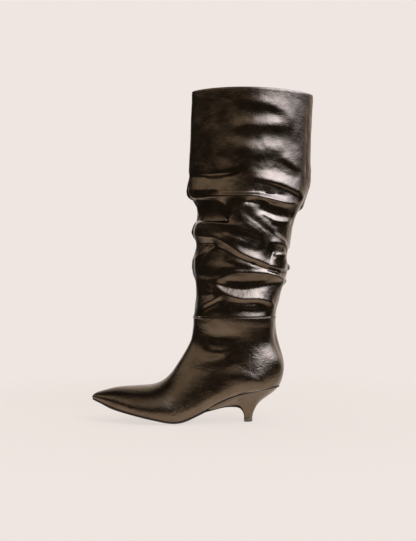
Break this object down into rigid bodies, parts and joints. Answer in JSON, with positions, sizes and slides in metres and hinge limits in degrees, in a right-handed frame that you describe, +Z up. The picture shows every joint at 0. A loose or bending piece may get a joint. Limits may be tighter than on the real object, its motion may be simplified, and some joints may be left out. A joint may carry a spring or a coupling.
{
  "type": "slouch boot",
  "caption": "Left slouch boot with a pointed toe, low curved heel, piped ankle seam and a slack, folded leather shaft, open at the collar",
  "frame": {"origin": "on the floor, under the middle of the boot's bounding box", "axes": "+Z up the shaft; the toe points to -X and the heel to +X; -Y is the outer side and +Y the inner side"},
  "size_m": [0.305, 0.1056, 0.4537],
  "materials": {
    "bronze_leather": "glossy crinkled leather with a dark bronze sheen",
    "sole_leather": "smooth dark sole leather",
    "top_piece_rubber": "hard matt rubber",
    "sock_lining": "soft tan lining leather"
  },
  "bodies": {
    "root": {"outsole": "sole_leather", "heel": "bronze_leather", "top_piece": "top_piece_rubber", "upper": "bronze_leather", "seam_piping": "bronze_leather", "shaft": "bronze_leather", "insole": "sock_lining"}
  },
  "joints": []
}
